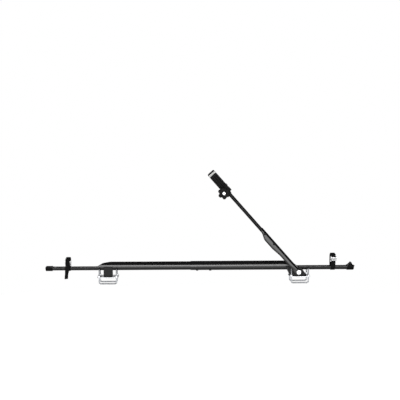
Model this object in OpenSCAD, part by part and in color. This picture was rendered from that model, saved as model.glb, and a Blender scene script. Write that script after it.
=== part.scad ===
// Roof mounted bike carrier: a two-piece tubular rail whose ends are pressed into wheel gutters,
// two crossbar clamps with square U-bolts, a folding arm with a frame clamp, and two wheel straps.
// Origin: middle of the front crossbar's top face. +X runs forward along the rail, +Z is up.

/* [Rail] */
// Length of the two rails joined together
rail_len = 1400; // [1340:5:1480]
// Outside diameter of the rear rail
rear_tube_d = 39; // [36:0.5:42]
// Wall of both rail tubes
tube_wall = 1.5; // [1.2:0.1:2]
// Length of rear rail held inside the front rail
joint_overlap = 120; // [90:5:150]
// Distance from the front crossbar back to the front rail's open mouth
joint_mouth = 498; // [450:1:540]
// Rail that stands out ahead of the front crossbar
front_overhang = 247; // [235:1:262]
// Length of the rear wheel gutter
rear_gutter = 227; // [205:1:240]
// Length of the front wheel gutter
front_gutter = 253; // [235:1:260]
// Length over which a gutter's rim climbs to the top of the tube
ramp_len = 39; // [34:1:50]
// How far a gutter's rim lies below the rail's axis
rim_drop = 4; // [0:0.5:6]
// Width of the slit in the front rail's mouth
slit_w = 2; // [1:0.5:4]
// Length of that slit
slit_len = 118; // [80:2:130]

/* [End caps] */
// Length of an end cap's sleeve
cap_len = 27; // [22:1:32]
// Wall of an end cap
cap_wall = 2.4; // [1.8:0.2:3.2]
// Height of the front cap's wheel stop above the gutter rim
stop_h = 13; // [8:1:18]

/* [Crossbar clamps] */
// Distance between the two crossbars
bar_spacing = 874; // [850:1:884]
// Height of the crossbars that the U-bolts close on
bar_h = 22; // [18:1:30]
// Thickness of the rubber pad on the crossbar
pad_t = 2.5; // [1.5:0.5:4]
// Thickness of the clamp plate
plate_t = 3; // [2:0.5:5]
// Length of the clamp plate along the rail
plate_len = 96; // [92:1:104]
// Height of the rail's axis above the clamp plate
saddle_h = 46.5; // [44:0.5:52]
// Wall of the saddle and of the pivot bracket
saddle_wall = 2.5; // [2:0.5:4]
// Length of the rear saddle along the rail
saddle_len = 40; // [34:1:50]
// Diameter of a U-bolt's rod
rod_d = 6; // [5:0.5:7]
// Distance between the two legs of a U-bolt
u_bolt_w = 78; // [74:1:80]
// Distance from the rail's centre plane to each U-bolt
u_bolt_y = 30; // [29.5:0.5:32]
// Length of a U-bolt's leg above the clamp plate
leg_above = 34; // [20:1:36]

/* [Arm] */
// Distance from the pivot to the tips of the jaws
arm_len = 589; // [545:2:641]
// Angle of the arm above the rail
arm_angle = 48.5; // [40:0.1:60]
// Distance of the pivot behind the front crossbar
pivot_back = 8; // [4:1:14]
// Distance of the pivot below the rail's axis
pivot_drop = 25; // [24.5:0.5:27]
// Outside diameter of the arm's tube
arm_tube_d = 16; // [14:0.5:17]
// Wall of the arm's tube
arm_tube_wall = 1.5; // [1:0.1:2.5]
// Wall of the arm's channel
channel_wall = 2; // [1.5:0.1:2.5]
// Length of the channel from the pivot
channel_len = 262; // [240:2:300]
// Depth of the channel's widest stretch below the arm's line
channel_deep = 20.4; // [17:0.2:24]
// Depth of the channel beside the rail
channel_slim = 14.5; // [14:0.1:16]
// Diameter of the pivot bolt's shoulder
pivot_d = 10; // [8:0.5:12]

/* [Frame clamp] */
// Length of the jaws' gripping fingers
jaw_len = 81; // [74:1:90]
// Length by which the far jaw outreaches the near one
far_reach = 12; // [4:1:14]
// Width of the jaws' fingers
jaw_w = 37; // [33:1:39]
// Opening between the jaws at the seat
jaw_gap = 58; // [50:1:64]
// Radius of the jaws' curved seats
seat_r = 70; // [60:1:90]
// Thickness of the rubber jaw pads
jaw_pad_t = 4; // [3:0.5:6]
// Diameter of the clamp bolt
clamp_bolt_d = 10; // [8:0.5:11]
// Distance of the clamp bolt from the arm's line
clamp_bolt_off = 17; // [15.5:0.5:20]
// Diameter of the knob across its lobes
knob_d = 54; // [46:1:60]
// Number of lobes on the knob
knob_lobes = 6; // [5:1:8]
// Height of the knob
knob_h = 25; // [20:1:30]

/* [Wheel straps] */
// Distance from the rear end of the rail to the rear strap
rear_strap_in = 99; // [88:1:110]
// Distance from the front end of the rail to the front strap
front_strap_in = 93; // [86:1:110]
// Width of the strap
strap_w = 20; // [16:1:25]
// Thickness of the strap
strap_t = 2; // [1.5:0.1:2.5]
// Height of the rear loop above the rail's axis
rear_loop_h = 42; // [40:1:60]
// Height of the front loop above the rail's axis
front_loop_h = 56; // [48:1:70]
// Length of the rear strap's tail, which folds over the buckle and hangs
rear_tail = 85; // [60:1:110]
// Height of the rear buckle's foot above the rail's axis
rear_buckle_z = 4; // [2:1:8]
// Height of the front buckle's foot above the rail's axis
front_buckle_z = 18; // [14:1:22]
// Height of a buckle
buckle_h = 26; // [25:1:30]

/* [Hidden] */

$fn = 48;
fit = 0.1;           // gap between pieces that are pushed together
run = 0.05;          // radial gap of a turning or sliding shaft
clear = 0.3;         // gap between faces that move past each other
over = 1;            // how far a cut runs past the face it opens

// Rails
rear_r = rear_tube_d / 2;
front_r = rear_r + fit + tube_wall;
rail_z = pad_t + plate_t + saddle_h;
rail_front = front_overhang;
rail_rear = rail_front - rail_len;
mouth_x = -joint_mouth;
front_len = rail_front - mouth_x;
rear_len = mouth_x + joint_overlap - rail_rear;
gutter_skin = 2 * tube_wall + 0.4;
joint_screw_x = [mouth_x + joint_overlap * 0.25, mouth_x + joint_overlap * 0.75];
joint_screw_r = 2.5;
joint_head_r = 5;
joint_head_h = 2.6;
slit_drop = 4;
function gutter_r(r) = r - gutter_skin;
mitre_lap = 0.3;       // how far the level trough runs into its ramp
function ramp_angle(r) = atan((r + rim_drop) / ramp_len);

// End caps
cap_lip = 2.2;
cap_round = 3;
cap_end = 4;
cap_tab = 26;
stop_len = 19;
stop_back = 2;
stop_crest = 3;
stop_fall = 9;

// Clamps
rear_bar_x = -bar_spacing;
plate_z = pad_t;
plate_w = 2 * (u_bolt_y + 8);
plate_round = 6;
saddle_base = 2.5;
saddle_cavity = 12;
bracket_back = 66;       // bracket's top corner behind the crossbar
bracket_foot_back = 42;
bracket_front = 8;
bracket_foot_front = 32;
bracket_shoulder = 9;
screw_r = 3;
screw_head_r = 5.8;
screw_head_h = 4;
screw_bite = 4;
saddle_screw_x = 12;
bracket_screw_x = [-38, 2];
rivet_r = 2.5;
rivet_head_r = 4.6;
rivet_head_h = 2;
rivet_y = 13;
bar_pad_w = 40;
bar_pad_y = 26;
rod_r = rod_d / 2;
u_bend = 8;
nut_af = 10;
nut_h = 5.5;
washer_r = 6;
washer_t = 1.2;
function saddle_half(r) = r + fit + saddle_wall;

// Arm
pivot_x = -pivot_back;
pivot_z = rail_z - pivot_drop;
pivot_r = pivot_d / 2;
pivot_thread_r = 4;
pivot_thread_len = 9;
spacer_len = 10.8;
spacer_r = 9;
arm_r = arm_tube_d / 2;
channel_in = arm_r + 0.2;
channel_half = channel_in + channel_wall;
wall_face = -saddle_half(front_r);
arm_y = wall_face - spacer_len - clear - channel_half;
eye_r = 14;
slim_end = 105;
deep_start = channel_len - 92;
deep_end = channel_len - 54;
tip_start = channel_len - 14;
flare_steps = 10;
tube_start = channel_len - 112;
sleeve_wall = 2.5;
arm_rivet_s = [channel_len - 90, channel_len - 28];
arm_rivet_r = 3;
arm_rivet_head_r = 5.5;
arm_rivet_head_h = 2.2;
head_flange_r = 9.5;
head_flange_t = 2;
head_r = 7;
head_h = 5;

// Frame clamp, in the arm's own frame: along the arm, across it and below it
finger_start = arm_len - jaw_len;
bolt_s = finger_start - 10;
base_start = bolt_s - 25;
base_end = finger_start + 4;
seat_s = arm_len - jaw_len / 2;
seat_y = jaw_gap / 2;
seat_centre = seat_r - seat_y;
near_back = arm_y - channel_half - 2;
near_tip_back = near_back + 11;
near_base_face = arm_y + arm_r + 12.5;
base_low = clamp_bolt_off + 13;
base_high = -arm_r - 3.2;
far_base_face = 12;
far_base_back = 40;
far_back = seat_y + 19;
far_tip_back = far_back - 6;
far_tip = arm_len + far_reach;
bolt_r = clamp_bolt_d / 2;
bolt_head_r = 9;
bolt_head_h = 4.5;
pin_s = bolt_s - 16;
pin_r = 3.5;
tube_end = finger_start - 4;
cross_s = bolt_s - 8;
cross_r = 2;
lug_out = 20;
lug_start = bolt_s - 13;
lug_end = bolt_s + 5;
corner_r = 5;
jaw_groove_z = jaw_w / 4;
jaw_groove_w = 2.6;
jaw_groove_d = 1.4;
jaw_groove_in = 9;
pad_half = jaw_w / 2 - 1;
pad_arc = 33;
near_pad_reach = jaw_len / 2 - 5;
far_pad_reach = jaw_len / 2 + far_reach - 6;
pad_grooves = 5;
groove_r = 1.2;
knob_y = near_back - clear;
hub_h = 4;
hub_r = 13;
lobe_r = 8;
lobe_at = knob_d / 2 - lobe_r;
knob_core_r = lobe_at + 1.5;
knob_round = 5;
knob_rest_turn = -7;
insert_r = 6.4;
insert_proud = 1;
bolt_tip = knob_y - hub_h - knob_h + 2;

// Straps
rear_strap_x = rail_rear + rear_strap_in;
front_strap_x = rail_front - front_strap_in;
buckle_plate = 2.2;
buckle_gap = 0.2;
ear_t = 2;
ear_in = strap_w / 2 + 0.6;
ear_half = 5.5;
buckle_pin_r = 2;
buckle_pin_head_r = 3;
buckle_pin_head_h = 1;
cam_r = 3.8;
cam_off = 0.7;
lever_t = 2.2;
lever_len = 14;
lever_lean = 18;
lever_lip_r = 1.5;
fold_r = 8;
fold_steps = 12;
stub_turn = 75;
strap_steps = 8;
tail_steps = 16;
tail_sway = -7;
tail_turn = 46;
function loop_in(r) = r + clear;
function loop_out(r) = loop_in(r) + strap_t;
function loop_rise(r, top) = top - loop_out(r);
function buckle_y(r) = -loop_out(r) - clear;
function layer_y(r) = buckle_y(r) - buckle_plate - buckle_gap - strap_t / 2;
function lever_y(r) = layer_y(r) - strap_t / 2 - clear - cam_r - cam_off;
function lever_z(foot) = foot + buckle_h - 6;
function smooth(u) = u <= 0 ? 0 : u >= 1 ? 1 : u * u * (3 - 2 * u);

// Shapes shared by several pieces
module rod(r, x0, x1) {
  translate([x0, 0, 0]) rotate([0, 90, 0]) cylinder(r = r, h = x1 - x0);
}
module post(r, z0, z1) {
  translate([0, 0, z0]) cylinder(r = r, h = z1 - z0);
}
module cross(r, y0, y1) {
  translate([0, y1, 0]) rotate([90, 0, 0]) cylinder(r = r, h = y1 - y0);
}
// A section drawn across the rail, carried along X
module along_x(x0, x1) {
  translate([x0, 0, 0]) rotate([90, 0, 90]) linear_extrude(x1 - x0) children();
}
// An outline seen from the side, carried along Y
module along_y(y0, y1) {
  translate([0, y1, 0]) rotate([90, 0, 0]) linear_extrude(y1 - y0) children();
}
// A rectangle with round corners
module soft_rect(x0, x1, y0, y1, r) {
  translate([x0 + r, y0]) square([x1 - x0 - 2 * r, y1 - y0]);
  translate([x0, y0 + r]) square([x1 - x0, y1 - y0 - 2 * r]);
  for (x = [x0 + r, x1 - r], y = [y0 + r, y1 - r]) translate([x, y]) circle(r);
}
module at_rail(x) {
  translate([x, 0, rail_z]) children();
}
// The arm's frame: X runs from the pivot to the jaws, Z points below the arm's line
module at_arm() {
  translate([pivot_x, 0, pivot_z]) rotate([0, arm_angle - 180, 0]) children();
}

// A round trough with all the room above its rim
module trough(cut_r, rim, half, x0, x1) {
  translate([x0, -half, rim]) cube([x1 - x0, 2 * half, 4 * half]);
  rod(cut_r, x0, x1);
}
// The room pressed out of a tube that ends at x = 0: a level trough and its ramp, joined at a mitre
module pressing(r, gutter, skin) {
  a = ramp_angle(r);
  cut_r = gutter_r(r) + skin;
  run_out = 4 * ramp_len;
  rim = -rim_drop - skin;
  translate([-gutter, 0, 0]) {
    intersection() {
      trough(cut_r, rim, r + over, -r, gutter + over);
      rotate([0, a / 2, 0]) translate([-mitre_lap, -2 * r, -8 * r]) cube([2 * gutter, 4 * r, 20 * r]);
    }
    rotate([0, a, 0]) intersection() {
      trough(cut_r, rim, r + over, -run_out, r);
      rotate([0, -a / 2, 0]) translate([-2 * run_out, -2 * r, -8 * r]) cube([2 * run_out, 4 * r, 20 * r]);
    }
  }
}
module pressed_tube(r, len, gutter) {
  difference() {
    rod(r, -len, 0);
    difference() {
      rod(r - tube_wall, -len - over, -gutter - ramp_len);
      pressing(r, gutter, tube_wall);
    }
    pressing(r, gutter, 0);
  }
}
module joint_holes() {
  for (x = joint_screw_x) translate([x, 0, rail_z]) post(joint_screw_r + fit, -front_r - over, 0);
}
module rail_screw_holes(xs, r) {
  for (x = xs) translate([x, 0, rail_z]) post(screw_r + fit, -r - over, 0);
}
module rear_rail() color([0.07, 0.07, 0.08]) difference() {
  at_rail(rail_rear) rotate([0, 0, 180]) pressed_tube(rear_r, rear_len, rear_gutter);
  joint_holes();
  rail_screw_holes(rear_screws(), rear_r);
}
module front_rail() color([0.07, 0.07, 0.08]) difference() {
  at_rail(rail_front) pressed_tube(front_r, front_len, front_gutter);
  at_rail(mouth_x) translate([-over, -front_r - over, -slit_drop - slit_w / 2])
    cube([slit_len + over, 2 * over + front_r / 2, slit_w]);
  joint_holes();
  rail_screw_holes(bracket_screw_x, front_r);
}
module rail_joint_screws() color([0.1, 0.1, 0.1])
  for (x = joint_screw_x) translate([x, 0, rail_z - front_r]) {
    post(joint_head_r, -joint_head_h, 0);
    post(joint_screw_r, -over, 2 * tube_wall + screw_bite);
  }

// End caps
module cap_section(r) difference() {
  circle(r + cap_wall);
  circle(gutter_r(r) - fit - cap_wall);
  translate([-2 * r, cap_lip - rim_drop]) square(4 * r);
  intersection() {
    difference() {
      circle(r + fit);
      circle(gutter_r(r) - fit);
    }
    translate([-2 * r, fit - rim_drop - 4 * r]) square(4 * r);
  }
}
module cap_end_section(r) difference() {
  circle(r + cap_wall);
  translate([-2 * r, cap_lip - rim_drop]) square(4 * r);
}
// A round bar whose outer end has a soft edge
module soft_bar(r, x0, x1, edge) {
  rotate([0, 90, 0]) rotate_extrude() {
    translate([0, x0]) square([r, x1 - x0 - edge]);
    square_low = x1 - edge - over;
    translate([0, square_low]) square([r - edge, edge + over]);
    translate([r - edge, x1 - edge]) intersection() {
      circle(edge);
      square(edge);
    }
  }
}
module end_cap(r) intersection() {
  union() {
    along_x(-cap_len, fit) cap_section(r);
    along_x(fit, cap_end) cap_end_section(r);
  }
  soft_bar(r + cap_wall, -cap_len, cap_end, cap_round);
}
module rear_end_cap() color([0.05, 0.05, 0.05])
  at_rail(rail_rear) rotate([0, 0, 180]) end_cap(rear_r);
module wheel_stop(r) {
  foot = -cap_len - stop_back;
  crest = foot + stop_len;
  round_r = gutter_r(r) - fit - cap_wall / 2;
  half = round_r - 2;
  low = cap_lip - rim_drop - 0.2;
  intersection() {
    along_y(-r, r) polygon([[foot, -r], [foot, -rim_drop - 3], [crest, stop_h],
      [crest + stop_crest, stop_h], [crest + stop_fall, low], [cap_end / 2, low], [cap_end / 2, -r]]);
    union() {
      rod(round_r, foot, cap_end / 2);
      translate([foot - over, -half, -rim_drop]) cube([cap_end - foot, 2 * half, stop_h + 2 * rim_drop]);
    }
  }
}
module front_end_cap() color([0.05, 0.05, 0.05]) at_rail(rail_front) {
  end_cap(front_r);
  translate([0.5, -cap_tab / 2, cap_lip - rim_drop - 2.7]) cube([cap_end + 3.5, cap_tab, 2.5]);
  wheel_stop(front_r);
}

// Crossbar clamps
function rear_screws() = [rear_bar_x - saddle_screw_x, rear_bar_x + saddle_screw_x];
module saddle_section(r) difference() {
  translate([-saddle_half(r), -saddle_h]) square([2 * saddle_half(r), saddle_h]);
  circle(r + fit);
  translate([fit - r, saddle_base - saddle_h]) square([2 * (r - fit), saddle_cavity]);
}
module saddle_holes(screw_xs, rivet_xs) {
  for (x = screw_xs) translate([x, 0, rail_z]) post(screw_r + fit, saddle_base - saddle_h, 0);
  for (x = rivet_xs, y = [-rivet_y, rivet_y]) translate([x, y, 0])
    post(rivet_r + fit, plate_z - over, plate_z + plate_t + saddle_base + over);
}
rear_rivet_x = [rear_bar_x - saddle_len / 4, rear_bar_x + saddle_len / 4];
front_rivet_x = [-bracket_foot_back + 20, bracket_foot_front - 14];
module rear_saddle() color([0.06, 0.06, 0.06]) difference() {
  at_rail(rear_bar_x) along_x(-saddle_len / 2, saddle_len / 2) saddle_section(rear_r);
  saddle_holes(rear_screws(), rear_rivet_x);
}
module front_bracket() color([0.06, 0.06, 0.06]) difference() {
  at_rail(0) intersection() {
    along_x(-bracket_back, bracket_foot_front) saddle_section(front_r);
    along_y(-2 * front_r, 2 * front_r) polygon([[-bracket_back, 0], [-bracket_foot_back, 0],
      [bracket_front, -rim_drop - 2], [bracket_front, -bracket_shoulder],
      [bracket_foot_front, saddle_base - saddle_h],
      [bracket_foot_front, -saddle_h], [-bracket_foot_back, -saddle_h]]);
  }
  saddle_holes(bracket_screw_x, front_rivet_x);
  translate([pivot_x, 0, pivot_z])
    cross(pivot_thread_r + run, wall_face - over, wall_face + pivot_thread_len + fit);
}
module saddle_screws(xs, r) for (x = xs) translate([x, 0, 0]) {
  seat = rail_z - saddle_h + saddle_base + saddle_cavity;
  translate([0, 0, seat - screw_head_h]) cylinder(r = screw_head_r, h = screw_head_h, $fn = 6);
  post(screw_r, seat - over, rail_z - r + tube_wall + screw_bite);
}
module rear_saddle_screws() color([0.7, 0.7, 0.72]) saddle_screws(rear_screws(), rear_r);
module front_bracket_screws() color([0.7, 0.7, 0.72]) saddle_screws(bracket_screw_x, front_r);

module at_u_legs() for (x = [-u_bolt_w / 2, u_bolt_w / 2], y = [-u_bolt_y, u_bolt_y])
  translate([x, y, 0]) children();
module clamp_plate(x, rivet_xs) difference() {
  translate([x, 0, plate_z]) linear_extrude(plate_t)
    soft_rect(-plate_len / 2, plate_len / 2, -plate_w / 2, plate_w / 2, plate_round);
  translate([x, 0, 0]) at_u_legs() post(rod_r + fit, 0, rail_z);
  for (rx = rivet_xs, y = [-rivet_y, rivet_y]) translate([rx, y, 0])
    post(rivet_r + fit, 0, rail_z);
}
module rear_clamp_plate() color([0.75, 0.75, 0.77]) clamp_plate(rear_bar_x, rear_rivet_x);
module front_clamp_plate() color([0.75, 0.75, 0.77]) clamp_plate(0, front_rivet_x);
module plate_rivets(xs) for (x = xs, y = [-rivet_y, rivet_y]) translate([x, y, 0]) {
  top = plate_z + plate_t + saddle_base;
  post(rivet_r, plate_z, top + over);
  post(rivet_head_r, top, top + rivet_head_h);
}
module rear_plate_rivets() color([0.6, 0.6, 0.62]) plate_rivets(rear_rivet_x);
module front_plate_rivets() color([0.6, 0.6, 0.62]) plate_rivets(front_rivet_x);
module bar_pad(x) translate([x, 0, 0]) linear_extrude(pad_t)
  soft_rect(-bar_pad_w / 2, bar_pad_w / 2, -bar_pad_y, bar_pad_y, 4);
module rear_bar_pad() color([0.03, 0.03, 0.03]) bar_pad(rear_bar_x);
module front_bar_pad() color([0.03, 0.03, 0.03]) bar_pad(0);

// A square U: two legs, two quarter bends and the run under the crossbar
module u_bolt() {
  low = -bar_h - rod_r;
  half = u_bolt_w / 2;
  rod_at = half - u_bend;
  translate([0, 0, low]) rod(rod_r, -rod_at, rod_at);
  for (side = [0, 180]) rotate([0, 0, side]) {
    translate([half, 0, 0]) post(rod_r, low + u_bend, plate_z + plate_t + leg_above);
    translate([rod_at, 0, low + u_bend]) rotate([90, 0, 0]) rotate([0, 0, -90])
      rotate_extrude(angle = 90) translate([u_bend, 0]) circle(rod_r);
  }
}
module u_bolts(x) for (y = [-u_bolt_y, u_bolt_y]) translate([x, y, 0]) u_bolt();
module rear_u_bolts() color([0.8, 0.8, 0.82]) u_bolts(rear_bar_x);
module front_u_bolts() color([0.8, 0.8, 0.82]) u_bolts(0);
module u_bolt_nuts(x) translate([x, 0, plate_z + plate_t]) at_u_legs() difference() {
  union() {
    post(washer_r, 0, washer_t);
    translate([0, 0, washer_t]) cylinder(r = nut_af / 2 / cos(30), h = nut_h, $fn = 6);
  }
  post(rod_r + run, -over, washer_t + nut_h + over);
}
module rear_u_bolt_nuts() color([0.78, 0.78, 0.8]) u_bolt_nuts(rear_bar_x);
module front_u_bolt_nuts() color([0.78, 0.78, 0.8]) u_bolt_nuts(0);

// Arm and its pivot
module at_pivot() translate([pivot_x, 0, pivot_z]) children();
spacer_face = wall_face - spacer_len;
arm_face = arm_y - channel_half;
module pivot_spacer() color([0.5, 0.5, 0.52]) at_pivot() difference() {
  cross(spacer_r, spacer_face, wall_face);
  cross(pivot_r + run, spacer_face - over, wall_face + over);
}
module pivot_bolt() color([0.82, 0.82, 0.84]) at_pivot() {
  seat = arm_face - clear;
  cross(pivot_thread_r, wall_face - over, wall_face + pivot_thread_len);
  cross(pivot_r, seat - over, wall_face);
  cross(head_flange_r, seat - head_flange_t, seat);
  translate([0, seat - head_flange_t, 0]) rotate([90, 0, 0]) rotate_extrude() {
    square([head_r - 2, head_h]);
    square([head_r, head_h - 2]);
    translate([head_r - 2, head_h - 2]) intersection() {
      circle(2);
      square(2);
    }
  }
}
function flare(s0, s1, d0, d1, u) = [s0 + (s1 - s0) * u, d0 + (d1 - d0) * smooth(u)];
module channel_outline() {
  intersection() {
    circle(eye_r);
    translate([-eye_r, -channel_half - over]) square([2 * eye_r, eye_r + channel_half + 2 * over]);
  }
  polygon(concat([[0, -channel_half - over], [channel_len, -channel_half - over],
    [channel_len, -channel_half + 6]],
    [for (i = [0 : flare_steps]) flare(tip_start, deep_end, arm_r, channel_deep, i / flare_steps)],
    [for (i = [0 : flare_steps]) flare(deep_start, slim_end, channel_deep, channel_slim, i / flare_steps)],
    [[0, eye_r]]));
}
module channel_room(half, depth) {
  circle(half);
  translate([-half, 0]) square([2 * half, depth]);
}
module channel_section() difference() {
  channel_room(channel_half, 2 * channel_deep);
  channel_room(channel_in, 2 * channel_deep + over);
}
module lower_arm() color([0.06, 0.06, 0.065]) at_arm() translate([0, arm_y, 0]) difference() {
  intersection() {
    along_x(-eye_r, channel_len) channel_section();
    along_y(-channel_half - over, channel_half + over) channel_outline();
  }
  cross(pivot_r + run, -channel_half - over, channel_half + over);
  for (s = arm_rivet_s) translate([s, 0, 0])
    cross(arm_rivet_r + fit, -channel_half - over, channel_half + over);
}
module pivot_sleeve() color([0.4, 0.4, 0.42]) at_arm() translate([0, arm_y, 0]) difference() {
  intersection() {
    cross(pivot_r + run + sleeve_wall, -channel_half, channel_half);
    along_x(-eye_r, eye_r) channel_room(channel_in - fit, eye_r);
  }
  cross(pivot_r + run, -channel_half - over, channel_half + over);
}
module upper_arm() color([0.05, 0.05, 0.055]) at_arm() translate([0, arm_y, 0]) difference() {
  rod(arm_r, tube_start, tube_end);
  rod(arm_r - arm_tube_wall, tube_start - over, tube_end + over);
  for (s = arm_rivet_s) translate([s, 0, 0]) cross(arm_rivet_r + fit, -2 * arm_r, 2 * arm_r);
  translate([cross_s, 0, 0]) post(cross_r + fit, -2 * arm_r, 2 * arm_r);
}
module arm_rivets() color([0.12, 0.12, 0.12]) at_arm() translate([0, arm_y, 0])
  for (s = arm_rivet_s) translate([s, 0, 0]) {
    cross(arm_rivet_r, -channel_half - over, channel_half + over);
    for (side = [0, 180]) rotate([0, 0, side]) translate([0, channel_half, 0])
      rotate([-90, 0, 0]) intersection() {
        cylinder(r = arm_rivet_head_r, h = arm_rivet_head_h);
        translate([0, 0, arm_rivet_head_h - 2 * arm_rivet_head_r]) rotate([90, 0, 0])
          sphere(2 * arm_rivet_head_r);
      }
  }

// Frame clamp: two jaws drawn as a side outline and a section along the arm
function corner(x, y, r, from) = [for (i = [0 : 6]) [x, y] + r * [cos(from + 15 * i), sin(from + 15 * i)]];
function soft_box(x0, x1, y0, y1, r) = concat(corner(x1 - r, y1 - r, r, 0), corner(x0 + r, y1 - r, r, 90),
  corner(x0 + r, y0 + r, r, 180), corner(x1 - r, y0 + r, r, 270));
module jaw_outline(tip) {
  polygon(soft_box(finger_start - 2 * corner_r, tip, -jaw_w / 2, jaw_w / 2, corner_r));
  polygon(soft_box(base_start, base_end, base_high, base_low, 1.5 * corner_r));
}
module seat_curve() {
  translate([seat_s, seat_centre]) circle(seat_r, $fn = 96);
}
module near_section() {
  polygon([[base_start, near_back], [finger_start, near_back], [finger_start, near_base_face],
    [base_start, near_base_face]]);
  difference() {
    polygon([[finger_start, near_back], [arm_len, near_tip_back], [arm_len, 0],
      [finger_start, 0]]);
    seat_curve();
  }
}
module far_section() {
  polygon([[base_start, far_base_face], [base_end, far_base_face], [base_end, far_base_back],
    [base_start, far_base_back]]);
  difference() {
    polygon([[finger_start, 0], [far_tip, 0], [far_tip, far_tip_back], [finger_start + 6, far_back],
      [finger_start, far_base_back], [finger_start - corner_r, far_base_back],
      [finger_start - corner_r, far_base_face], [finger_start, far_base_face]]);
    mirror([0, 1]) seat_curve();
  }
}
module across_jaw(half) {
  translate([0, 0, -half]) linear_extrude(2 * half) children();
}
// Lengthwise grooves in a finger's back, which runs from one point to another
module back_grooves(from, to) {
  run_len = norm(to - from);
  lean = atan2(to[1] - from[1], to[0] - from[0]);
  for (z = [-jaw_groove_z, 0, jaw_groove_z]) translate([from[0], from[1], z]) rotate([0, 0, lean])
    translate([jaw_groove_in, -jaw_groove_d, -jaw_groove_w / 2])
      cube([run_len - 2 * jaw_groove_in, 2 * jaw_groove_d, jaw_groove_w]);
}
module near_jaw() color([0.09, 0.09, 0.095]) at_arm() difference() {
  intersection() {
    along_y(near_back - over, over) {
      jaw_outline(arm_len);
      polygon(soft_box(lug_start, lug_end, -lug_out, 0, 3));
      polygon(soft_box(lug_end + 10, lug_end + 18, -jaw_w / 2 - 2, 0, 1.5));
    }
    across_jaw(2 * jaw_w) near_section();
  }
  translate([0, arm_y, 0]) rod(arm_r + fit, base_start - over, tube_end + fit);
  translate([bolt_s, 0, clamp_bolt_off]) cross(bolt_r + run, near_back - over, near_base_face + over);
  translate([pin_s, 0, clamp_bolt_off]) cross(pin_r + run, near_back + 3, near_base_face + over);
  translate([cross_s, arm_y, 0]) post(cross_r + fit, -lug_out - over, arm_r + 2);
  back_grooves([finger_start, near_back], [arm_len, near_tip_back]);
}
module jaw_pad(reach) intersection() {
  difference() {
    translate([seat_s, seat_centre, -pad_half]) cylinder(r = seat_r - fit, h = 2 * pad_half, $fn = 96);
    translate([seat_s, seat_centre, -pad_half - over])
      cylinder(r = seat_r - jaw_pad_t, h = 2 * (pad_half + over), $fn = 96);
    for (i = [0 : pad_grooves - 1])
      translate([seat_s, seat_centre, 0]) rotate([0, 0, (i - (pad_grooves - 1) / 2) * 9 - 90])
        translate([seat_r - jaw_pad_t, 0, -pad_half - over])
          cylinder(r = groove_r, h = 2 * (pad_half + over));
  }
  translate([seat_s - pad_arc, seat_centre - seat_r - over, -pad_half])
    cube([pad_arc + reach, seat_r, 2 * pad_half]);
}
module near_jaw_pad() color([0.72, 0.72, 0.72]) at_arm() jaw_pad(near_pad_reach);
module jaw_pin() color([0.75, 0.75, 0.77]) at_arm() translate([cross_s, arm_y, 0]) {
  post(cross_r, 0.5 - lug_out, arm_r + 1);
}
module far_jaw() color([0.09, 0.09, 0.095]) at_arm() difference() {
  intersection() {
    along_y(-over, far_back + over) jaw_outline(far_tip);
    across_jaw(2 * jaw_w) far_section();
  }
  translate([bolt_s, 0, clamp_bolt_off]) cross(bolt_r + run, far_base_face - over, far_base_back + over);
  translate([pin_s, 0, clamp_bolt_off]) cross(pin_r + run, far_base_face - over, far_base_back - 6);
  back_grooves([finger_start + 6, far_back], [far_tip, far_tip_back]);
}
module far_jaw_pad() color([0.72, 0.72, 0.72]) at_arm() mirror([0, 1, 0]) jaw_pad(far_pad_reach);
module clamp_bolt() color([0.8, 0.8, 0.82]) at_arm() translate([bolt_s, 0, clamp_bolt_off]) {
  cross(bolt_r, bolt_tip, far_base_back + over);
  translate([0, far_base_back, 0]) rotate([-90, 0, 0]) intersection() {
    cylinder(r = bolt_head_r, h = bolt_head_h);
    translate([0, 0, bolt_head_h - 2 * bolt_head_r]) rotate([90, 0, 0]) sphere(2 * bolt_head_r);
  }
}
module guide_pin() color([0.78, 0.78, 0.8]) at_arm() translate([pin_s, 0, clamp_bolt_off])
  cross(pin_r, near_base_face - 18, far_base_back - 6);
module knob_outline() {
  circle(knob_core_r);
  for (i = [0 : knob_lobes - 1]) rotate((i + 0.5) * 360 / knob_lobes + knob_rest_turn)
    translate([lobe_at, 0]) circle(lobe_r);
}
module at_knob() at_arm() translate([bolt_s, knob_y, clamp_bolt_off]) rotate([90, 0, 0]) children();
module clamp_knob() color([0.05, 0.05, 0.055]) at_knob() difference() {
  union() {
    cylinder(r = hub_r, h = hub_h + over);
    translate([0, 0, hub_h]) intersection() {
      linear_extrude(knob_h) knob_outline();
      rotate_extrude() {
        translate([0, 2]) square([knob_d / 2, knob_h - 2 - knob_round]);
        square([knob_d / 2 - 2, knob_h - knob_round]);
        square([knob_d / 2 - knob_round, knob_h]);
        translate([knob_d / 2 - knob_round, knob_h - knob_round]) circle(knob_round);
      }
    }
  }
  post(insert_r + fit / 2, -over, hub_h + knob_h + over);
}
module knob_insert() color([0.85, 0.85, 0.86]) at_knob() difference() {
  post(insert_r, 0, hub_h + knob_h + insert_proud);
  post(bolt_r + run, -over, hub_h + knob_h + insert_proud + over);
}

// Wheel straps
module stadium(r, h) {
  circle(r);
  translate([0, h]) circle(r);
  translate([-r, 0]) square([2 * r, h]);
}
function bezier(p, u) = p[0] * pow(1 - u, 3) + p[1] * 3 * u * pow(1 - u, 2)
  + p[2] * 3 * u * u * (1 - u) + p[3] * u * u * u;
function bezier_dir(p, u) = (p[1] - p[0]) * pow(1 - u, 2) + (p[2] - p[1]) * 2 * u * (1 - u)
  + (p[3] - p[2]) * u * u;
function side_of(d) = [d[1], -d[0]] / norm(d);
// The outer layer leaves the loop beside the gutter and rises through the buckle
function layer_curve(r, foot) =
  let(m = loop_in(r) + strap_t / 2, a = 212, start = m * [cos(a), sin(a)],
    dir = [sin(a), -cos(a)], end = [layer_y(r), foot])
  [start, start + 7 * dir, end - [0, 7], end];
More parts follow.
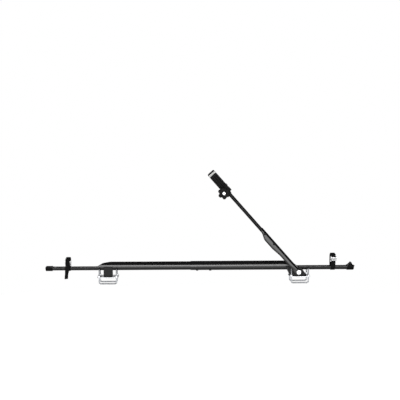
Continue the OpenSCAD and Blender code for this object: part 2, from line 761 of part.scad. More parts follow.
// Past the buckle it folds outwards through the given angle
module fold_strip(r, foot, turn) {
  c = [layer_y(r) - fold_r, foot + buckle_h + 2];
  angles = [for (i = [0 : fold_steps]) turn * i / fold_steps];
  polygon(concat(
    [for (a = angles) c + (fold_r + strap_t / 2) * [cos(a), sin(a)]],
    [for (i = [fold_steps : -1 : 0]) c + (fold_r - strap_t / 2) * [cos(angles[i]), sin(angles[i])]]));
}
module layer_strip(r, foot, turn) {
  c = layer_curve(r, foot);
  us = [for (i = [0 : strap_steps]) i / strap_steps];
  polygon(concat(
    [for (u = us) bezier(c, u) + side_of(bezier_dir(c, u)) * strap_t / 2],
    [for (i = [strap_steps : -1 : 0]) bezier(c, us[i]) - side_of(bezier_dir(c, us[i])) * strap_t / 2]));
  translate([layer_y(r) - strap_t / 2, foot - 0.5]) square([strap_t, buckle_h + 2.6]);
  fold_strip(r, foot, turn);
}
// The loose tail: a ribbon that hangs in front of the buckle, sways and turns as it falls
module tail_ribbon(r, foot) {
  top = foot + buckle_h + 2.2;
  rings = [for (i = [0 : tail_steps])
    let(u = i / tail_steps, a = tail_turn * smooth((u - 0.35) / 0.4),
      c = [tail_sway * smooth((u - 0.2) / 0.8), layer_y(r) - 2 * fold_r + 5 * smooth((u - 0.3) / 0.7),
        top - rear_tail * u],
      w = [cos(a), sin(a), 0] * strap_w / 2, t = [-sin(a), cos(a), 0] * strap_t / 2)
    [c - w - t, c + w - t, c + w + t, c - w + t]];
  points = [for (ring = rings, p = ring) p];
  sides = [for (i = [0 : tail_steps - 1], k = [0 : 3])
    let(a = 4 * i + k, b = 4 * i + (k + 1) % 4) each [[a, b, b + 4], [a, b + 4, a + 4]]];
  last = 4 * tail_steps;
  polyhedron(points, concat([[0, 2, 1], [0, 3, 2]], sides,
    [[last, last + 1, last + 2], [last, last + 2, last + 3]]));
}
module strap(r, top, foot, turn) along_x(-strap_w / 2, strap_w / 2) {
  difference() {
    stadium(loop_out(r), loop_rise(r, top));
    stadium(loop_in(r), loop_rise(r, top));
  }
  layer_strip(r, foot, turn);
}
module ear_outline(r, foot) {
  back = buckle_y(r);
  front = lever_y(r) - ear_half + 1.5;
  z = lever_z(foot);
  soft_rect(front, back, z - ear_half, z + ear_half, 4);
  polygon([[back - buckle_plate, foot + 3], [front + 4, z - ear_half], [back, z], [back, foot + 3]]);
}
module buckle(x, r, foot) at_rail(x) difference() {
  union() {
    along_y(buckle_y(r) - buckle_plate, buckle_y(r))
      soft_rect(-ear_in - ear_t, ear_in + ear_t, foot, foot + buckle_h, 2);
    for (x0 = [-ear_in - ear_t, ear_in]) along_x(x0, x0 + ear_t) ear_outline(r, foot);
  }
  translate([0, lever_y(r), lever_z(foot)]) rod(buckle_pin_r + fit / 2, -strap_w, strap_w);
}
module buckle_pin(x, r, foot) at_rail(x) translate([0, lever_y(r), lever_z(foot)]) {
  outer = ear_in + ear_t;
  rod(buckle_pin_r, -outer - over / 2, outer + over / 2);
  rod(buckle_pin_head_r, outer, outer + buckle_pin_head_h);
  rod(buckle_pin_head_r, -outer - buckle_pin_head_h, -outer);
}
// A cam that bites the strap, with a leaning thumb lever
module lever_outline() {
  translate([cam_off, 0]) circle(cam_r);
  rotate(-lever_lean) {
    translate([-lever_t - 0.5, -lever_len]) square([lever_t, lever_len]);
    translate([-lever_t, -lever_len]) circle(lever_lip_r);
  }
}
module buckle_lever(x, r, foot) at_rail(x) translate([0, lever_y(r), lever_z(foot)]) difference() {
  along_x(clear - ear_in, ear_in - clear) lever_outline();
  rod(buckle_pin_r + run, -strap_w, strap_w);
}
module rear_strap() color([0.04, 0.04, 0.04]) at_rail(rear_strap_x) {
  strap(rear_r, rear_loop_h, rear_buckle_z, 180);
  tail_ribbon(rear_r, rear_buckle_z);
}
module rear_buckle() color([0.75, 0.75, 0.77]) buckle(rear_strap_x, rear_r, rear_buckle_z);
module rear_buckle_pin() color([0.7, 0.7, 0.72]) buckle_pin(rear_strap_x, rear_r, rear_buckle_z);
module rear_buckle_lever() color([0.72, 0.72, 0.74]) buckle_lever(rear_strap_x, rear_r, rear_buckle_z);
module front_strap() color([0.04, 0.04, 0.04]) at_rail(front_strap_x)
  strap(front_r, front_loop_h, front_buckle_z, stub_turn);
module front_buckle() color([0.75, 0.75, 0.77]) buckle(front_strap_x, front_r, front_buckle_z);
module front_buckle_pin() color([0.7, 0.7, 0.72]) buckle_pin(front_strap_x, front_r, front_buckle_z);
module front_buckle_lever() color([0.72, 0.72, 0.74]) buckle_lever(front_strap_x, front_r, front_buckle_z);

rear_rail();
front_rail();
rail_joint_screws();
rear_end_cap();
front_end_cap();
rear_saddle();
front_bracket();
rear_saddle_screws();
front_bracket_screws();
rear_clamp_plate();
front_clamp_plate();
rear_plate_rivets();
front_plate_rivets();
rear_bar_pad();
front_bar_pad();
rear_u_bolts();
front_u_bolts();
rear_u_bolt_nuts();
front_u_bolt_nuts();
pivot_spacer();
pivot_bolt();
lower_arm();
pivot_sleeve();
upper_arm();
arm_rivets();
near_jaw();
near_jaw_pad();
jaw_pin();
far_jaw();
far_jaw_pad();
clamp_bolt();
guide_pin();
clamp_knob();
knob_insert();
rear_strap();
rear_buckle();
rear_buckle_pin();
rear_buckle_lever();
front_strap();
front_buckle();
front_buckle_pin();
front_buckle_lever();
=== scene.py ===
import math

import bmesh
import bpy
import numpy as np
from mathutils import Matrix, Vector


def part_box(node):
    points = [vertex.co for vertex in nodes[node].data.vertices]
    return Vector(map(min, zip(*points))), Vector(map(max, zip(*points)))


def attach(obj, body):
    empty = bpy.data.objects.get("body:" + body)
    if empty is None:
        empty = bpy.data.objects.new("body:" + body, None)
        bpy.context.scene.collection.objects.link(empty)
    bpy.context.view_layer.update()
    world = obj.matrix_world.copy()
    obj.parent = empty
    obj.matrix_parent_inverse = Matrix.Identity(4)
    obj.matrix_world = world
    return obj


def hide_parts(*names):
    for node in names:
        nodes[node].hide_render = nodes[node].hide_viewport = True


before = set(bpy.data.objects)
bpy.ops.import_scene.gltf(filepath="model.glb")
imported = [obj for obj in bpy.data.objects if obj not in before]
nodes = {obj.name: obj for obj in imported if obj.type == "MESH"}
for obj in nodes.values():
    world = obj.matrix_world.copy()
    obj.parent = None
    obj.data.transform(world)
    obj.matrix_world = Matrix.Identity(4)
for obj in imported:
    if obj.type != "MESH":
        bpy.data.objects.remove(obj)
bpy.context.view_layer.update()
scene = bpy.context.scene
white = (1, 1, 1, 1)
print("frame loaded", len(nodes))


# a socket with arithmetic, so that patterns read as formulas
class Wire:
    def __init__(self, look, socket):
        self.look = look
        self.socket = socket

    def calc(self, operation, *others):
        return self.look.add("ShaderNodeMath", {"operation": operation}, [self, *others])

    def __add__(self, other):
        return self.calc("ADD", other)

    def __sub__(self, other):
        return self.calc("SUBTRACT", other)

    def __mul__(self, other):
        return self.calc("MULTIPLY", other)

    def __radd__(self, other):
        return self.calc("ADD", other)

    def __rmul__(self, other):
        return self.calc("MULTIPLY", other)

    def __rsub__(self, other):
        return self.look.add("ShaderNodeMath", {"operation": "SUBTRACT"}, [other, self])

    def size(self):
        return self.calc("ABSOLUTE")

    def above(self, limit):
        return self.calc("GREATER_THAN", limit)

    def wave(self, pitch):
        return (self * (2 * math.pi / pitch)).calc("SINE")


class Look:
    def __init__(self, owner):
        self.tree = owner.node_tree
        self.tree.nodes.clear()

    def add(self, kind, settings=None, inputs=None, out=0):
        node = self.tree.nodes.new(kind)
        for key, value in (settings or {}).items():
            setattr(node, key, value)
        pairs = inputs.items() if isinstance(inputs, dict) else enumerate(inputs or [])
        for key, value in pairs:
            if isinstance(value, Wire):
                self.tree.links.new(value.socket, node.inputs[key])
            else:
                node.inputs[key].default_value = value
        return Wire(self, node.outputs[out]) if node.outputs else node

    def split(self, vector):
        node = self.add("ShaderNodeSeparateXYZ", None, [vector]).socket.node
        return [Wire(self, node.outputs[i]) for i in range(3)]

    # the colour sockets of a Mix node are its inputs 6 and 7 and its output 2
    def blend(self, factor, low, high):
        low, high = (c if isinstance(c, Wire) else (*c, 1) for c in (low, high))
        return self.add("ShaderNodeMix", {"data_type": "RGBA"}, {0: factor, 6: low, 7: high}, 2)

    def cloudy(self, factor, tone, dark, light=1.0):
        return self.blend(factor, [t * dark for t in tone], [t * light for t in tone])

    def noise(self, vector, scale, detail, rough=0.5):
        return self.add("ShaderNodeTexNoise", None,
                        {"Vector": vector, "Scale": scale, "Detail": detail, "Roughness": rough})

    def ease(self, value, start, end, low, high):
        return self.add("ShaderNodeMapRange", {"interpolation_type": "SMOOTHSTEP"},
                        {"Value": value, "From Min": start, "From Max": end, "To Min": low, "To Max": high})

    def bump(self, height, distance, strength):
        return self.add("ShaderNodeBump", None,
                        {"Height": height, "Distance": distance, "Strength": strength})

    def glow(self, kind, strength):
        return self.add(kind, None, {"Color": white, "Strength": strength})

    def finish(self, **sockets):
        named = {key.replace("_", " "): value for key, value in sockets.items()}
        shader = self.add("ShaderNodeBsdfPrincipled", None, named)
        self.add("ShaderNodeOutputMaterial", None, [shader])


def newLook(name):
    mat = bpy.data.materials.new(name)
    mat.use_nodes = True
    look = Look(mat)
    place = look.add("ShaderNodeTexCoord", out="Object")
    return mat, look, place


# satin black powder coat: a cloudy tone, soft orange peel, and a gloss that follows both a little
coatLook = {"cloudScale": 9.0, "peelScale": 480.0, "dark": 0.75, "light": 1.35,
            "cloudRough": 0.08, "peelRough": 0.04, "peelHeight": 0.00003, "peelStrength": 0.3}


def powderCoat(name, tone, rough=0.2, shine=1.0):
    mat, look, place = newLook(name)
    cloud = look.noise(place, coatLook["cloudScale"], detail=4.0)
    peel = look.noise(place, coatLook["peelScale"], detail=1.0)
    look.finish(Base_Color=look.cloudy(cloud, tone, coatLook["dark"], coatLook["light"]),
                Roughness=rough + coatLook["cloudRough"] * cloud + coatLook["peelRough"] * peel,
                Specular_IOR_Level=shine,
                Normal=look.bump(peel, coatLook["peelHeight"], coatLook["peelStrength"]))
    return mat


# moulded black plastic with an etched grain
plasticLook = {"cloudScale": 22.0, "grainScale": 1500.0, "dark": 0.8, "light": 1.3, "shine": 0.11,
               "rough": 0.42, "cloudRough": 0.14, "grainRough": 0.06,
               "grainHeight": 0.00006, "grainStrength": 0.8}


def mouldedPlastic(name, tone):
    mat, look, place = newLook(name)
    cloud = look.noise(place, plasticLook["cloudScale"], detail=3.0)
    grain = look.noise(place, plasticLook["grainScale"], detail=2.0, rough=0.7)
    dull = plasticLook["rough"] + plasticLook["cloudRough"] * cloud + plasticLook["grainRough"] * grain
    look.finish(Base_Color=look.cloudy(cloud, tone, plasticLook["dark"], plasticLook["light"]),
                Roughness=dull, Specular_IOR_Level=plasticLook["shine"],
                Normal=look.bump(grain, plasticLook["grainHeight"], plasticLook["grainStrength"]))
    return mat


# zinc plate: faint patches, and rings of thread past a place on one axis
zincLook = {"patchScale": 70.0, "fineScale": 900.0, "dark": 0.86, "fineShare": 0.12,
            "rough": 0.24, "patchRough": 0.16, "fineRough": 0.05,
            "plainHeight": 0.00005, "threadHeight": 0.0003, "strength": 0.7}


def zincPlate(name, tone, thread=None):
    mat, look, place = newLook(name)
    patch = look.noise(place, zincLook["patchScale"], detail=4.0, rough=0.6)
    fine = look.noise(place, zincLook["fineScale"], detail=2.0)
    relief = fine * zincLook["fineShare"]
    if thread:
        along = look.split(place)[thread["axis"]]
        ring = along.wave(thread["pitch"]) * 0.5 + 0.5
        relief = relief + ring * (along * thread["sign"]).above(thread["start"] * thread["sign"])
    height = zincLook["threadHeight"] if thread else zincLook["plainHeight"]
    look.finish(Base_Color=look.cloudy(patch, tone, zincLook["dark"]), Metallic=1.0,
                Roughness=zincLook["rough"] + zincLook["patchRough"] * patch + zincLook["fineRough"] * fine,
                Normal=look.bump(relief, height, zincLook["strength"]))
    return mat


# rubber: a cloudy tone and a fine grain
rubberLook = {"cloudScale": 45.0, "grainScale": 1100.0, "dark": 0.82, "shine": 0.4,
              "rough": 0.62, "cloudRough": 0.16, "grainHeight": 0.00008, "grainStrength": 0.7}


def softRubber(name, tone):
    mat, look, place = newLook(name)
    cloud = look.noise(place, rubberLook["cloudScale"], detail=4.0)
    grain = look.noise(place, rubberLook["grainScale"], detail=2.0)
    look.finish(Base_Color=look.cloudy(cloud, tone, rubberLook["dark"]),
                Roughness=rubberLook["rough"] + rubberLook["cloudRough"] * cloud,
                Specular_IOR_Level=rubberLook["shine"],
                Normal=look.bump(grain, rubberLook["grainHeight"], rubberLook["grainStrength"]))
    return mat


# webbing: ribs across the band and yarns along it, both on the band's own UV in metres
# two cross rows and two long rows of stitches hold the sewn end, a denser edge runs along both sides
clothLook = {"ribPitch": 0.0016, "yarnPitch": 0.0011, "yarnShift": 0.9, "ribShare": 0.35, "yarnShare": 0.3,
             "hemStart": 0.0078, "hemEnd": 0.0086, "hemShare": 0.25, "fuzzScale": 260.0, "fuzzShare": 0.3,
             "dark": 0.4, "light": 2.2, "rough": 0.7, "fuzzRough": 0.14, "shine": 0.07,
             "height": 0.0003, "strength": 0.9}
stitchLook = {"pitch": 0.0028, "dash": -0.35, "half": 0.0005, "rise": 0.8, "start": 0.003, "end": 0.024,
              "longOff": 0.0065, "crossMiddle": 0.0135, "crossOff": 0.009, "crossReach": 0.0068}


def wovenBand(name, tone, thread):
    mat, look, place = newLook(name)
    across, along, _ = look.split(look.add("ShaderNodeUVMap", {"uv_map": "band"}))
    off = across.size()
    rib = along.wave(clothLook["ribPitch"])
    yarn = (across * (2 * math.pi / clothLook["yarnPitch"]) + rib * clothLook["yarnShift"]).calc("SINE")
    hem = look.ease(off, clothLook["hemStart"], clothLook["hemEnd"], 0.0, 1.0)
    weave = rib * clothLook["ribShare"] + yarn * clothLook["yarnShare"] + 0.5 + hem * clothLook["hemShare"]
    fuzz = look.noise(place, clothLook["fuzzScale"], detail=3.0)
    dash = along.wave(stitchLook["pitch"]).above(stitchLook["dash"])
    crossDash = across.wave(stitchLook["pitch"]).above(stitchLook["dash"])
    sewn = along.above(stitchLook["start"]) * (stitchLook["end"] - along).above(0.0)
    longGap = (off - stitchLook["longOff"]).size()
    longRow = (stitchLook["half"] - longGap).above(0.0) * dash * sewn
    crossGap = ((along - stitchLook["crossMiddle"]).size() - stitchLook["crossOff"]).size()
    inside = (stitchLook["crossReach"] - off).above(0.0)
    crossRow = (stitchLook["half"] - crossGap).above(0.0) * crossDash * inside
    stitch = longRow.calc("MAXIMUM", crossRow)
    shade = weave * (1 - clothLook["fuzzShare"]) + fuzz * clothLook["fuzzShare"]
    cloth = look.cloudy(shade, tone, clothLook["dark"], clothLook["light"])
    relief = weave + stitch * stitchLook["rise"]
    look.finish(Base_Color=look.blend(stitch, cloth, thread),
                Roughness=clothLook["rough"] + clothLook["fuzzRough"] * fuzz,
                Specular_IOR_Level=clothLook["shine"],
                Normal=look.bump(relief, clothLook["height"], clothLook["strength"]))
    return mat


rodThread = {"axis": 2, "start": 0.0125, "sign": 1, "pitch": 0.001}
boltThread = {"axis": 1, "start": -0.03, "sign": -1, "pitch": 0.0015}
finishes = {
    "rail": powderCoat("railBlack", (0.0028, 0.0028, 0.003)),
    "arm": powderCoat("armBlack", (0.0026, 0.0026, 0.0028), rough=0.18, shine=0.16),
    "channel": powderCoat("channelBlack", (0.0028, 0.0028, 0.003), rough=0.1, shine=0.45),
    "bracket": powderCoat("bracketBlack", (0.003, 0.003, 0.0033), rough=0.42, shine=0.22),
    "plastic": mouldedPlastic("plasticBlack", (0.0035, 0.0034, 0.0034)),
    "zinc": zincPlate("zincPlain", (0.74, 0.75, 0.77)),
    "zincBright": zincPlate("zincBright", (0.92, 0.92, 0.93)),
    "zincRod": zincPlate("zincRod", (0.4, 0.41, 0.43), rodThread),
    "zincBolt": zincPlate("zincBolt", (0.66, 0.67, 0.69), boltThread),
    "rubber": softRubber("rubberBlack", (0.008, 0.008, 0.008)),
    "pad": softRubber("rubberGrey", (0.93, 0.93, 0.91)),
    "band": wovenBand("bandBlack", (0.0045, 0.0045, 0.0048), (0.03, 0.03, 0.032)),
}
# pieces that aren't listed have plain zinc
dressed = {
    "rail": ["rear_rail", "front_rail", "rail_joint_screws"],
    "bracket": ["rear_saddle", "front_bracket"],
    "zincBright": ["rear_buckle", "front_buckle", "rear_buckle_lever", "front_buckle_lever",
                   "knob_insert", "pivot_bolt"],
    "arm": ["upper_arm", "arm_rivets"],
    "channel": ["lower_arm"],
    "plastic": ["rear_end_cap", "front_end_cap", "near_jaw", "far_jaw", "clamp_knob"],
    "zincRod": ["rear_u_bolts", "front_u_bolts"],
    "zincBolt": ["clamp_bolt"],
    "rubber": ["rear_bar_pad", "front_bar_pad"],
    "pad": ["near_jaw_pad", "far_jaw_pad"],
    "band": ["rear_strap", "front_strap"],
}
finishOf = {name: finish for finish, names in dressed.items() for name in names}
for name, obj in nodes.items():
    obj.data.materials.clear()
    obj.data.materials.append(finishes[finishOf.get(name, "zinc")])
print("finishes set", len(finishes))


# the width of each piece's rounded edges, in metres; pieces that aren't listed keep theirs
softEdge = {
    "near_jaw": 0.001, "far_jaw": 0.001,
    "rear_end_cap": 0.0006, "front_end_cap": 0.0006,
    "rear_saddle": 0.0006, "front_bracket": 0.0006,
    "rear_clamp_plate": 0.0005, "front_clamp_plate": 0.0005,
    "rear_buckle": 0.0004, "front_buckle": 0.0004,
    "rear_buckle_lever": 0.0004, "front_buckle_lever": 0.0004,
    "rear_u_bolt_nuts": 0.0004, "front_u_bolt_nuts": 0.0004,
}
edging = {"merge": 0.0003, "flatAngle": 1, "edgeAngle": 38, "segments": 2}


# loose triangles are joined and flat ones made one face, so that the bevel runs along whole edges
def roundEdges(obj, width):
    weld = obj.modifiers.new("weld", "WELD")
    weld.merge_threshold = edging["merge"]
    flat = obj.modifiers.new("flat", "DECIMATE")
    flat.decimate_type = "DISSOLVE"
    flat.angle_limit = math.radians(edging["flatAngle"])
    edge = obj.modifiers.new("edge", "BEVEL")
    edge.width = width
    edge.segments = edging["segments"]
    edge.limit_method = "ANGLE"
    edge.angle_limit = math.radians(edging["edgeAngle"])
    edge.use_clamp_overlap = False
    edge.harden_normals = False


for name, width in softEdge.items():
    roundEdges(nodes[name], width)
print("edges rounded", len(softEdge))


def addPiece(name, mesh, finish):
    mesh.polygons.foreach_set("use_smooth", np.ones(len(mesh.polygons), bool))
    mesh.materials.clear()
    mesh.materials.append(finishes[finish])
    obj = bpy.data.objects.new(name, mesh)
    scene.collection.objects.link(obj)
    return obj


# what both straps share, in metres and degrees; a span is where an ease starts and how far it runs
webbing = {"wide": 0.0198, "thick": 0.0018, "ring": 24, "sideBow": 0.35, "faceBow": 0.6, "spacing": 0.0008,
           "clear": 0.0003, "solidThick": 0.002, "layerGap": 0.0048, "leave": -148, "lead": 0.007,
           "tuck": 0.005, "overBuckle": 0.002, "fold": 0.008, "tailOut": 0.005,
           "arcSteps": 60, "curveSteps": 30, "foldSteps": 40,
           "twistSpan": (0.35, 0.4), "swaySpan": (0.2, 0.8), "outSpan": (0.3, 0.7)}
straps = {
    "rear": {"foldTurn": 180, "tail": 0.085, "sway": -0.007, "twist": 46},
    "front": {"foldTurn": 75, "tail": 0, "sway": 0, "twist": 0},
}


# length of the path up to each point: the running sum of the steps
def runLength(path):
    return np.concatenate([[0], np.cumsum(np.linalg.norm(np.diff(path, axis=0), axis=1))])


# an arc: centre plus radius times cosine and sine of evenly spaced angles
def arcPoints(centre, radius, start, end, count):
    a = np.radians(np.linspace(start, end, count))
    return np.stack([centre[0] + radius * np.cos(a), centre[1] + radius * np.sin(a)], -1)


# smooth step: 3 u^2 - 2 u^3, with u held between 0 and 1
def easeIn(u):
    u = np.clip(u, 0, 1)
    return u * u * (3 - 2 * u)


def easeSpan(u, span):
    start, reach = span
    return easeIn((u - start) / reach)


# one strap: up from the buckle, over a half circle, under the gutter by an arc, up through the buckle
# by a cubic curve, and over a fold at its top; the loose tail hangs, sways and twists by smooth steps
def strapRoute(end):
    piece = straps[end]
    fold = webbing["fold"]
    tail = piece["tail"]
    railLow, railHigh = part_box(end + "_rail")
    buckleLow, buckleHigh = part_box(end + "_buckle")
    centre = np.array([(buckleLow[0] + buckleHigh[0]) / 2, 0, (railLow[2] + railHigh[2]) / 2])
    inner = (railHigh[2] - railLow[2]) / 2 + webbing["clear"]
    mid = inner + webbing["thick"] / 2
    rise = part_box(end + "_strap")[1][2] - centre[2] - inner - webbing["solidThick"]
    foot = buckleLow[2] - centre[2]
    top = buckleHigh[2] - centre[2] + webbing["overBuckle"]
    layer = -mid - webbing["layerGap"]
    leave = np.radians(webbing["leave"])
    p0 = mid * np.array([np.cos(leave), np.sin(leave)])
    p1 = p0 + webbing["lead"] * np.array([np.sin(leave), -np.cos(leave)])
    p3 = np.array([layer, foot])
    p2 = p3 - [0, webbing["lead"]]
    u = np.linspace(0, 1, webbing["curveSteps"])[:, None]
    rising = p0 * (1 - u) ** 3 + 3 * p1 * u * (1 - u) ** 2 + 3 * p2 * u * u * (1 - u) + p3 * u ** 3
    parts = [
        np.array([[-mid, foot + webbing["tuck"]], [-mid, rise]]),
        arcPoints((0, rise), mid, 180, 0, webbing["arcSteps"])[1:],
        arcPoints((0, 0), mid, 0, webbing["leave"], webbing["arcSteps"]),
        rising[1:],
        arcPoints((layer - fold, top), fold, 0, piece["foldTurn"], webbing["foldSteps"]),
    ]
    if tail:
        parts.append(np.array([[layer - 2 * fold, top - tail]]))
    path = np.concatenate(parts)
    gone = runLength(path)
    even = np.linspace(0, gone[-1], int(gone[-1] / webbing["spacing"]))
    hang = np.clip((even - (gone[-1] - tail)) / max(tail, webbing["spacing"]), 0, 1)
    turn = np.radians(piece["twist"]) * easeSpan(hang, webbing["twistSpan"])
    x = piece["sway"] * easeSpan(hang, webbing["swaySpan"])
    y = np.interp(even, gone, path[:, 0]) + webbing["tailOut"] * easeSpan(hang, webbing["outSpan"])
    z = np.interp(even, gone, path[:, 1])
    widthDir = np.stack([np.cos(turn), np.sin(turn), 0 * turn], -1)
    return centre + np.stack([x, y, z], -1), widthDir


# a band swept along a route: the section is a flat superellipse, half the width times a power of the
# cosine by half the thickness times a power of the sine, with UV in metres across and along
def makeBand(name, route, widthDir):
    along = runLength(route)
    tangent = np.gradient(route, along, axis=0)
    tangent /= np.linalg.norm(tangent, axis=1)[:, None]
    side = widthDir - (widthDir * tangent).sum(1)[:, None] * tangent
    side /= np.linalg.norm(side, axis=1)[:, None]
    out = np.cross(tangent, side)
    ring = webbing["ring"]
    turn = np.arange(ring) * 2 * np.pi / ring
    c, s = np.cos(turn), np.sin(turn)
    across = webbing["wide"] / 2 * np.sign(c) * np.abs(c) ** webbing["sideBow"]
    lift = webbing["thick"] / 2 * np.sign(s) * np.abs(s) ** webbing["faceBow"]
    points = route[:, None] + across[None, :, None] * side[:, None] + lift[None, :, None] * out[:, None]
    n = len(route)
    i, k = np.meshgrid(np.arange(n - 1), np.arange(ring), indexing="ij")
    a = i * ring + k
    b = i * ring + (k + 1) % ring
    quads = np.stack([a, b, b + ring, a + ring], -1).reshape(-1, 4)
    ends = [list(range(ring))[::-1], list(range((n - 1) * ring, n * ring))]
    mesh = bpy.data.meshes.new(name)
    mesh.from_pydata(points.reshape(-1, 3).tolist(), [], quads.tolist() + ends)
    corner = np.zeros(len(mesh.loops), np.int32)
    mesh.loops.foreach_get("vertex_index", corner)
    uv = np.stack([across[corner % ring], along[corner // ring]], -1)
    mesh.uv_layers.new(name="band").data.foreach_set("uv", uv.astype(np.float32).ravel())
    return addPiece(name, mesh, "band")


for end in straps:
    band = makeBand(end + "Band", *strapRoute(end))
    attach(band, end + "_strap")
    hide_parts(end + "_strap")
print("straps made", len(straps))


# the arm's pressed channel: the flat cheeks are cut into strips and stations and pushed sideways
# the fullest line of a cheek lies one lip above its lower edge, at the depth called full
# above it the push is slope * full / 2 * (1 - u^2), with u the share of the way up to the cheek's top
# below it the push falls by roll * v^2, with v the share of the way across the lip, so the lip turns in
# the bridge narrows to its top at the same slope, and the eye round the pivot stays flat
channel = {"slope": 0.21, "lip": 0.0055, "roll": 0.0016, "slim": 0.0145, "deep": 0.0204, "tip": 0.008,
           "slimEnd": 0.105, "deepStart": 0.17, "deepEnd": 0.208, "tipStart": 0.248,
           "flatEnd": 0.018, "fullPush": 0.05, "strips": 16, "stations": 34, "sharp": 35,
           "merge": 0.000005, "cut": 0.000001}


# depth of the cheek's lower edge at s along the arm: slim, eased to deep, then eased back to the tip
def channelEdge(s):
    deeper = easeIn((s - channel["slimEnd"]) / (channel["deepStart"] - channel["slimEnd"]))
    shallower = easeIn((s - channel["deepEnd"]) / (channel["tipStart"] - channel["deepEnd"]))
    gain = channel["deep"] - channel["slim"]
    loss = channel["deep"] - channel["tip"]
    return channel["slim"] + gain * deeper - loss * shallower


def pressedChannel(name, node):
    bolt = np.mean(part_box("pivot_bolt"), axis=0)
    tube = np.mean(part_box("upper_arm"), axis=0)
    along = (tube - bolt) * [1, 0, 1]
    along /= np.linalg.norm(along)
    down = np.array([-along[2], 0, along[0]])
    down *= -np.sign(down[2])
    pivot = np.array([bolt[0], tube[1], bolt[2]])
    strips = np.linspace(0.0, channel["deep"], channel["strips"])
    stations = np.linspace(channel["flatEnd"], channel["tipStart"], channel["stations"])
    cuts = [(pivot + down * d, down) for d in strips] + [(pivot + along * s, along) for s in stations]
    sheet = bmesh.new()
    sheet.from_mesh(nodes[node].data)
    bmesh.ops.remove_doubles(sheet, verts=sheet.verts, dist=channel["merge"])
    for spot, facing in cuts:
        bmesh.ops.bisect_plane(sheet, geom=[*sheet.verts, *sheet.edges, *sheet.faces], dist=channel["cut"],
                               plane_co=spot.tolist(), plane_no=facing.tolist())
    mesh = bpy.data.meshes.new(name)
    sheet.to_mesh(mesh)
    sheet.free()
    points = np.zeros(len(mesh.vertices) * 3)
    mesh.vertices.foreach_get("co", points)
    points = points.reshape(-1, 3)
    s = (points - pivot) @ along
    depth = (points - pivot) @ down
    off = points[:, 1] - pivot[1]
    full = channelEdge(s) - channel["lip"]
    u = np.clip(1 - depth / full, 0, 1)
    v = np.clip((depth - full) / channel["lip"], 0, 1)
    cheek = np.sign(off) * (channel["slope"] * full / 2 * (1 - u * u) - channel["roll"] * v * v)
    bridge = off * depth * channel["slope"] / np.abs(off).max()
    share = easeIn((s - channel["flatEnd"]) / (channel["fullPush"] - channel["flatEnd"]))
    points[:, 1] += share * np.where(depth > 0, cheek, bridge)
    mesh.vertices.foreach_set("co", points.ravel())
    if "custom_normal" in mesh.attributes:  # the CAD normals no longer fit the pushed sheet
        mesh.attributes.remove(mesh.attributes["custom_normal"])
    obj = addPiece(name, mesh, "channel")
    mesh.set_sharp_from_angle(angle=math.radians(channel["sharp"]))
    return obj


lower = pressedChannel("armChannel", "lower_arm")
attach(lower, "arm")
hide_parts("lower_arm")
print("channel pressed", len(lower.data.polygons))


# a pale round floor well below, white to the camera; every other ray sees it glow, with a painted shadow: a
# dim strip under the carrier
ground = {"drop": -0.5, "reach": 2.6, "middle": -0.45, "sides": 96, "glow": 0.86, "chalk": 0.9, "pale": 0.95,
          "paintedShadow": 0.2, "shadowMiddle": 0.15, "shadowStart": 0.25, "shadowEnd": 0.95}


# the rim is a circle: reach times cosine and sine of evenly spaced angles
def makeFloor():
    a = np.arange(ground["sides"]) * 2 * np.pi / ground["sides"]
    x = ground["reach"] * np.cos(a) + ground["middle"]
    y = ground["reach"] * np.sin(a)
    rim = np.stack([x, y, 0 * a + ground["drop"]], -1)
    mesh = bpy.data.meshes.new("floor")
    mesh.from_pydata(rim.tolist(), [], [list(range(ground["sides"]))])
    floor = bpy.data.objects.new("floor", mesh)
    scene.collection.objects.link(floor)
    mat, look, place = newLook("floorWhite")
    seen = look.add("ShaderNodeLightPath", out="Is Camera Ray")
    # painted shadow: the glow that the other rays see is dimmed in a strip under the carrier, standing in
    # for its shadow
    away = (look.split(place)[1] - ground["shadowMiddle"]).size()
    paintedShadowLevel = look.ease(away, ground["shadowStart"], ground["shadowEnd"], ground["paintedShadow"], ground["pale"])
    glowWithPaintedShadow = look.glow("ShaderNodeEmission", paintedShadowLevel)
    glow = look.glow("ShaderNodeEmission", ground["glow"])
    chalk = look.add("ShaderNodeBsdfDiffuse", None, [(ground["chalk"], ground["chalk"], ground["chalk"], 1)])
    plain = look.add("ShaderNodeAddShader", None, [glow, chalk])
    mixed = look.add("ShaderNodeMixShader", None, [seen, glowWithPaintedShadow, plain])
    look.add("ShaderNodeOutputMaterial", None, [mixed])
    mesh.materials.append(mat)


# a bright wall all round, brightest and tallest behind the camera, with a dark ceiling above it
# wall, sides and ceiling are strengths, footShare is what is left of them at the wall's foot, and the
# others are parts of a direction: near along y, foot and top along z; the camera sees plain white
room = {"wall": 5.2, "sides": 2.0, "ceiling": 0.05, "nearFull": -0.95, "nearEnd": -0.8, "nearRise": 0.11,
        "footStart": -0.25, "footEnd": 0.02, "footShare": 0.2, "topStart": 0.12, "topEnd": 0.2}


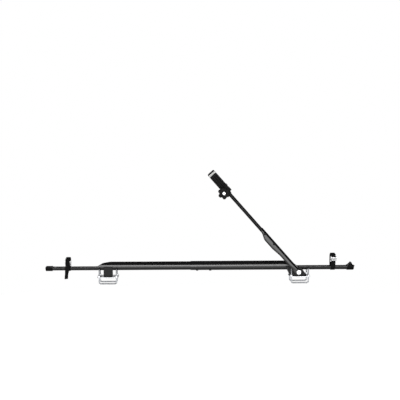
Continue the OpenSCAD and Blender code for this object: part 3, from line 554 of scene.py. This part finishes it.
def makeRoom():
    world = bpy.data.worlds.new("room")
    world.use_nodes = True
    scene.world = world
    look = Look(world)
    seen = look.add("ShaderNodeLightPath", out="Is Camera Ray")
    _, depth, lift = look.split(look.add("ShaderNodeTexCoord", out="Generated"))
    near = look.ease(depth, room["nearFull"], room["nearEnd"], 1.0, 0.0)
    wall = near * (room["wall"] - room["sides"]) + room["sides"]
    foot = look.ease(lift, room["footStart"], room["footEnd"], room["footShare"], 1.0)
    top = look.ease(lift - near * room["nearRise"], room["topStart"], room["topEnd"], 1.0, 0.0)
    walls = look.glow("ShaderNodeBackground", wall * (foot * top) + room["ceiling"])
    plain = look.glow("ShaderNodeBackground", 1.0)
    mixed = look.add("ShaderNodeMixShader", None, [seen, walls, plain])
    look.add("ShaderNodeOutputWorld", None, [mixed])


# one soft light from above, kept out of reflections
topLight = {"place": (-0.9, -0.9, 3.2), "target": (-0.45, 0, 0.1), "size": (3.0, 2.0), "power": 34}


# aimed by its tilt from straight down, then by its turn about z
def areaLight(name, place, target, size, power):
    data = bpy.data.lights.new(name, "AREA")
    data.shape = "RECTANGLE"
    data.size, data.size_y = size
    data.energy = power
    lamp = bpy.data.objects.new(name, data)
    scene.collection.objects.link(lamp)
    lamp.location = place
    lamp.visible_glossy = False
    aim = np.array(target) - np.array(place)
    yaw = math.atan2(aim[1], aim[0])
    lamp.rotation_euler = (math.acos(-aim[2] / np.linalg.norm(aim)), 0, yaw - math.pi / 2)


# tilt is below the level, turn is about z, both in degrees
view = {"place": (-0.609, -4.3, 0.72), "tilt": 4.88, "turn": -2.05, "lens": 85.41, "sensor": 36, "reach": 50}


def makeCamera():
    eye = bpy.data.cameras.new("eye")
    eye.sensor_width = view["sensor"]
    eye.lens = view["lens"]
    eye.clip_end = view["reach"]
    camera = bpy.data.objects.new("eye", eye)
    camera.location = view["place"]
    camera.rotation_euler = (math.radians(90 - view["tilt"]), 0, math.radians(view["turn"]))
    scene.collection.objects.link(camera)
    scene.camera = camera


makeFloor()
makeRoom()
areaLight("top", **topLight)
makeCamera()
scene.view_settings.view_transform = "Standard"
print("stage set")
